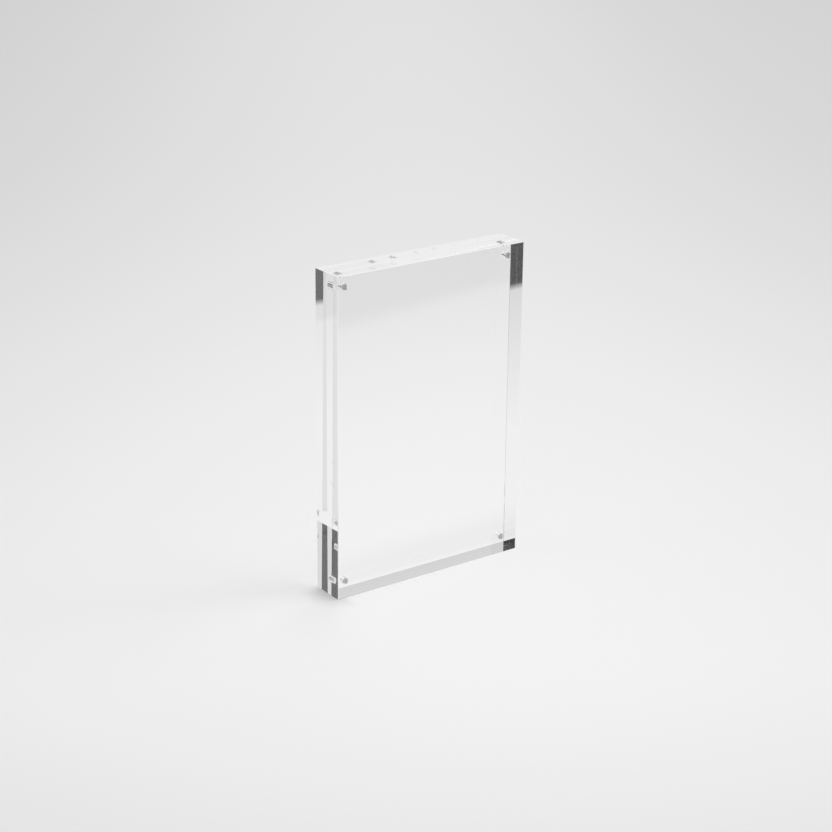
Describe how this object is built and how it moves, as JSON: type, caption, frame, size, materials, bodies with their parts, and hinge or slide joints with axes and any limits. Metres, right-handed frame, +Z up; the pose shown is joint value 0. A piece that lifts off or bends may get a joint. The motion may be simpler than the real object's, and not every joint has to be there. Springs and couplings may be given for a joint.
{
  "type": "magnetic photo frame",
  "caption": "Clear upright block photo frame: polished acrylic panels held face to face by small corner magnets; the front panel pulls off so that a print can go in.",
  "frame": {"origin": "middle of the footprint, on the table", "axes": "+Z up, the front panel faces -Y, +X to the right seen from the front"},
  "size_m": [0.102, 0.0172, 0.152],
  "materials": {
    "clear_acrylic": "clear cast acrylic, polished faces and edges",
    "nickel_plate": "bright nickel plate",
    "cured_glue": "clear cured adhesive"
  },
  "bodies": {
    "rear_block": {"rear_panel": "clear_acrylic", "rear_magnet_top_left": "nickel_plate", "rear_magnet_top_right": "nickel_plate", "rear_magnet_bottom_left": "nickel_plate", "rear_magnet_bottom_right": "nickel_plate", "rear_glue_top_left": "cured_glue", "rear_glue_top_right": "cured_glue", "rear_glue_bottom_left": "cured_glue", "rear_glue_bottom_right": "cured_glue"},
    "front_block": {"front_panel": "clear_acrylic", "front_magnet_top_left": "nickel_plate", "front_magnet_top_right": "nickel_plate", "front_magnet_bottom_left": "nickel_plate", "front_magnet_bottom_right": "nickel_plate", "front_glue_top_left": "cured_glue", "front_glue_top_right": "cured_glue", "front_glue_bottom_left": "cured_glue", "front_glue_bottom_right": "cured_glue"}
  },
  "joints": [
    {"name": "front_panel_pull", "type": "slide", "parent": "rear_block", "child": "front_block", "axis": [0, -1, 0], "range_m": [0, 0.08]}
  ]
}
